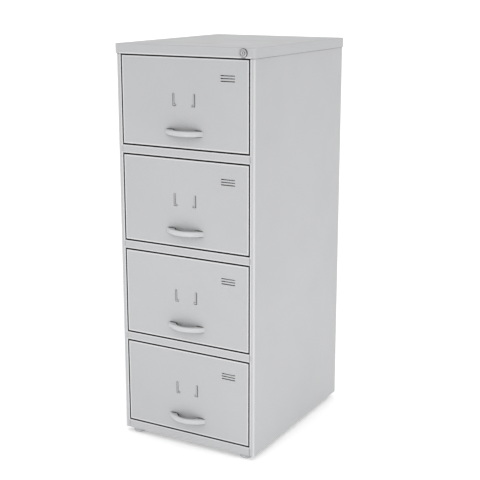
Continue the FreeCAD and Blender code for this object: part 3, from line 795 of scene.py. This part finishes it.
class CABINET_OT_handles(bpy.types.Operator):
    """Models a cast bow with broad feet for each drawer"""
    bl_idname = "cabinet.handles"
    bl_label = "Handles"

    def execute(self, context):
        sizes = context.scene.cabinet_handle
        paint = context.scene.cabinet_paint
        coat = powder_coat("handle_powder_coat", paint.handle_colour, paint)
        low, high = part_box("top_drawer_handle")
        first = self.bow(low, high, sizes)
        lug_x = high.x - sizes.lug_inset
        lugs = [self.lug(x, (low.z + high.z) / 2, high.y, sizes) for x in (-lug_x, lug_x)]
        join(first, lugs)
        smooth(first, angle=40)
        give(first, coat)
        top_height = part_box("top_drawer_front")[0].z
        for drawer in DRAWERS:
            name = drawer + "_handle_bow"
            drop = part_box(drawer + "_drawer_front")[0].z - top_height
            handle = first if drawer == "top" else copy_moved(first, name, (0, 0, drop))
            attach(handle, drawer + "_drawer")
            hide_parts(drawer + "_drawer_handle")
        return {"FINISHED"}

    def bow(self, low, high, sizes):
        """The bow's plan traced, raised and rounded, then cut flush with the front."""
        reach = FRONT_PLANE - low.y
        outer = self.arc(high.x, reach, sizes.steps)
        inner = self.arc(sizes.gap_width / 2, reach - sizes.grip, sizes.steps)
        outline = [Vector((x, y, low.z)) for x, y in outer + inner[::-1]]
        piece = start_from_point("top_handle_bow", outline[0])
        trace(outline + outline[:1])
        merge_doubles()
        bpy.ops.mesh.edge_face_add()
        bpy.ops.mesh.extrude_region_move(TRANSFORM_OT_translate={"value": (0, 0, high.z - low.z)})
        bpy.ops.mesh.select_all(action="SELECT")
        bpy.ops.mesh.normals_make_consistent(inside=False)
        self.round_rims(piece, outer, (low.z, high.z), sizes.crown, segments=7)
        self.round_rims(piece, inner, (low.z, high.z), sizes.rounding, segments=3)
        bpy.ops.mesh.select_all(action="SELECT")
        bpy.ops.mesh.bisect(
            plane_co=(0, FRONT_PLANE, 0), plane_no=(0, 1, 0), use_fill=True, clear_outer=True)
        bpy.ops.object.mode_set(mode="OBJECT")
        return piece

    def round_rims(self, piece, arc, heights, width, segments):
        """Rounds the edges that follow one arc at the top and bottom of the bow."""
        middles = [(Vector(start) + Vector(end)) / 2 for start, end in zip(arc, arc[1:])]

        def on_rim(at):
            level = min(abs(at.z - height) for height in heights)
            return level < NEAR and min((at.xy - middle).length for middle in middles) < NEAR

        select_where(piece, "edges", on_rim)
        bpy.ops.mesh.bevel(offset=width, segments=segments, affect="EDGES")

    def arc(self, half_width, reach, steps):
        """Points of an arc in plan, run on a little way behind the front to be cut off there."""
        run_on = 0.006
        radius = (half_width ** 2 + reach ** 2) / (2 * reach)
        middle_y = FRONT_PLANE - reach + radius
        run = math.asin(half_width / radius) + run_on / radius
        points = []
        for step in range(steps + 1):
            angle = run * (2 * step / steps - 1)
            points.append((radius * math.sin(angle), middle_y - radius * math.cos(angle)))
        return points

    def lug(self, x, z, back, sizes):
        """A stem through the front, headed over behind it."""
        deselect_all()
        head_start = back - sizes.head_depth
        bpy.ops.mesh.primitive_cube_add(size=1, location=(x, (FRONT_PLANE + back) / 2, z))
        bpy.ops.transform.resize(value=(sizes.lug_width, back - FRONT_PLANE, sizes.lug_height))
        bpy.ops.object.transform_apply(location=True, rotation=True, scale=True)
        lug = bpy.context.object
        bpy.ops.object.mode_set(mode="EDIT")
        bpy.ops.mesh.select_all(action="SELECT")
        bpy.ops.mesh.bisect(plane_co=(0, head_start, 0), plane_no=(0, 1, 0))
        for side in (-1, 1):
            wall = x + side * sizes.lug_width / 2
            select_where(lug, "faces", lambda at: abs(at.x - wall) < NEAR and at.y > head_start)
            bpy.ops.mesh.extrude_region_move(
                TRANSFORM_OT_translate={"value": (side * sizes.head_reach, 0, 0)})
        bpy.ops.object.mode_set(mode="OBJECT")
        round_off(lug, width=0.0003, segments=2, angle=50)
        return lug


class CABINET_OT_lock_ring(bpy.types.Operator):
    """Turns the lock's ring with a raised lip and a dish round the plug"""
    bl_idname = "cabinet.lock_ring"
    bl_label = "Lock ring"

    def execute(self, context):
        sizes = context.scene.cabinet_lock
        low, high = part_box("lock_housing")
        plug_low, plug_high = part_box("lock_plug")
        centre = Vector(((low.x + high.x) / 2, 0, (low.z + high.z) / 2))
        ring = (high.x - low.x) / 2
        bore = (plug_high.x - plug_low.x) / 2 + sizes.plug_clearance
        barrel = sizes.barrel_radius
        cap_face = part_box("top_cap")[0].y
        front, back = low.y, high.y
        dish = front + sizes.dish
        lip = ring - sizes.lip
        # Up the bore, across the dish, over the lip, and back down the ring and the barrel
        profile = [
            (bore, back), (bore, dish + 0.0004), (bore + 0.0004, dish),
            (lip - 0.0009, dish), (lip - 0.0003, front + 0.0004), (lip + 0.0002, front),
            (ring - 0.0011, front), (ring - 0.0005, front + 0.0002),
            (ring - 0.0001, front + 0.0007), (ring, front + 0.0013), (ring, cap_face),
            (barrel, cap_face), (barrel, back), (bore, back),
        ]
        piece = turned("lock_ring", profile, centre, (0, 1, 0), sizes.steps)
        smooth(piece, angle=30)
        give(piece, bpy.data.materials["lock_plating"])
        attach(piece, "cabinet")
        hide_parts("lock_housing")
        return {"FINISHED"}


class CABINET_OT_feet(bpy.types.Operator):
    """Turns a moulded foot with a groove and sets one under each corner"""
    bl_idname = "cabinet.feet"
    bl_label = "Feet"

    def execute(self, context):
        sizes = context.scene.cabinet_foot
        low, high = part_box("feet")
        radius, top = sizes.radius, high.z
        groove, groove_edge = radius - sizes.groove, radius - 0.0002
        # Across the sole, up the side past the groove, over the top and down the screw's hole
        profile = [
            (0, 0), (radius * 0.62, 0), (radius * 0.66, 0.0006), (radius * 0.86, 0.0006),
            (radius * 0.94, 0.0014), (radius * 0.985, 0.0030), (radius, 0.0052), (radius, 0.0096),
            (groove_edge, 0.0100), (groove, 0.0103), (groove, 0.0113), (groove_edge, 0.0116),
            (radius, 0.0120), (radius, top - 0.0006), (radius - 0.0006, top),
            (sizes.bore_radius, top), (sizes.bore_radius, sizes.bore_end), (0, sizes.bore_end),
        ]
        left, right = low.x + radius, high.x - radius
        near, far = low.y + radius, high.y - radius
        places = {
            "front_left": (left, near), "front_right": (right, near),
            "rear_left": (left, far), "rear_right": (right, far),
        }
        start = Vector((*places["front_left"], 0))
        first = turned("foot_front_left", profile, start, (0, 0, 1), sizes.steps)
        smooth(first, angle=40)
        give(first, moulded_plastic("foot_nylon", context.scene.cabinet_metal.foot_colour))
        for corner, (x, y) in places.items():
            offset = Vector((x, y, 0)) - start
            foot = first if corner == "front_left" else copy_moved(first, "foot_" + corner, offset)
            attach(foot, "cabinet")
            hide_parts("feet")
        return {"FINISHED"}


# Each light's name, where it stands, the point it faces and the length of its sides
LIGHTS = (
    ("top", (-0.4, -0.9, 3.2), (0, 0, 1.3), 1.6),
    ("fill", (3.4, -1.2, 2.0), (0, 0, 0.7), 2.4),
    ("front", (0.1, -2.1, 0.36), (0, -0.3, 0.36), 1.0),
    ("side", (1.55, -0.1, 0.25), (0.25, -0.1, 0.25), 0.9),
)


class CABINET_OT_stage(bpy.types.Operator):
    """Sets out the floor, the lights and the camera"""
    bl_idname = "cabinet.stage"
    bl_label = "Stage"

    def execute(self, context):
        settings = context.scene.cabinet_stage
        self.floor(settings)
        self.room(context.scene, settings)
        for name, place, target, size in LIGHTS:
            self.soft_light(name, getattr(settings, name + "_power"), place, target, size)
        self.camera(context.scene, settings)
        return {"FINISHED"}

    def floor(self, settings):
        deselect_all()
        bpy.ops.mesh.primitive_plane_add(size=settings.floor_size, location=(0, 0, FLOOR_LEVEL))
        floor = bpy.context.object
        floor.name = "studio_floor"
        bpy.ops.object.transform_apply(location=True, rotation=True, scale=True)
        material, tree, shader = new_finish("studio_floor")
        colour = settings.floor_colour
        clouded = blend_colour(tree, noise(tree, 0.8), shade(colour, 0.99), shade(colour, 1.01))
        tree.links.new(clouded, shader.inputs["Base Color"])
        shader.inputs["Emission Color"].default_value = (1, 1, 1, 1)
        shader.inputs["Emission Strength"].default_value = settings.floor_glow
        shader.inputs["Roughness"].default_value = 0.85
        shader.inputs["Specular IOR Level"].default_value = 0.2
        give(floor, material)

    def room(self, scene, settings):
        world = bpy.data.worlds.new("studio_room")
        world.use_nodes = True
        scene.world = world
        background = world.node_tree.nodes["Background"]
        background.inputs["Color"].default_value = (1, 1, 1, 1)
        background.inputs["Strength"].default_value = settings.sky_strength
        scene.view_settings.view_transform = "Standard"

    def soft_light(self, name, power, place, target, size):
        bpy.ops.object.light_add(type="AREA", location=place)
        light = bpy.context.object
        light.name = name + "_light"
        light.data.energy = power
        light.data.shape = "SQUARE"
        light.data.size = size
        light.visible_camera = False
        way = Vector(target) - Vector(place)
        light.rotation_euler = way.to_track_quat("-Z", "Y").to_euler()

    def camera(self, scene, settings):
        level = math.cos(settings.pitch)
        way = Vector((
            -math.sin(settings.azimuth) * level,
            math.cos(settings.azimuth) * level,
            -math.sin(settings.pitch),
        ))
        bpy.ops.object.camera_add(location=settings.camera_place)
        camera = bpy.context.object
        camera.name = "studio_camera"
        camera.rotation_euler = way.to_track_quat("-Z", "Y").to_euler()
        camera.data.lens = settings.lens
        camera.data.shift_y = settings.shift
        camera.data.clip_end = 400
        scene.camera = camera


class CABINET_PT_panel(bpy.types.Panel):
    bl_idname = "CABINET_PT_panel"
    bl_label = "Filing cabinet"
    bl_space_type = "VIEW_3D"
    bl_region_type = "UI"
    bl_category = "Cabinet"

    def draw(self, context):
        layout = self.layout
        for operator in OPERATORS:
            layout.operator(operator.bl_idname)
        for group in GROUPS:
            settings = getattr(context.scene, group)
            box = layout.box()
            for key in settings.__annotations__:
                box.prop(settings, key)


GROUPS = {
    "cabinet_paint": CabinetPaint,
    "cabinet_metal": CabinetMetal,
    "cabinet_handle": CabinetHandle,
    "cabinet_lock": CabinetLock,
    "cabinet_foot": CabinetFoot,
    "cabinet_stage": CabinetStage,
}
OPERATORS = (
    CABINET_OT_painted_steel,
    CABINET_OT_plated_parts,
    CABINET_OT_handles,
    CABINET_OT_lock_ring,
    CABINET_OT_feet,
    CABINET_OT_stage,
)


def register():
    for group, kind in GROUPS.items():
        bpy.utils.register_class(kind)
        setattr(bpy.types.Scene, group, PointerProperty(type=kind))
    for kind in OPERATORS + (CABINET_PT_panel,):
        bpy.utils.register_class(kind)


def unregister():
    for kind in (CABINET_PT_panel,) + OPERATORS:
        bpy.utils.unregister_class(kind)
    for group, kind in GROUPS.items():
        delattr(bpy.types.Scene, group)
        bpy.utils.unregister_class(kind)


def main():
    register()
    bpy.ops.cabinet.painted_steel()
    bpy.ops.cabinet.plated_parts()
    bpy.ops.cabinet.handles()
    bpy.ops.cabinet.lock_ring()
    bpy.ops.cabinet.feet()
    bpy.ops.cabinet.stage()


if __name__ == "__main__":
    main()
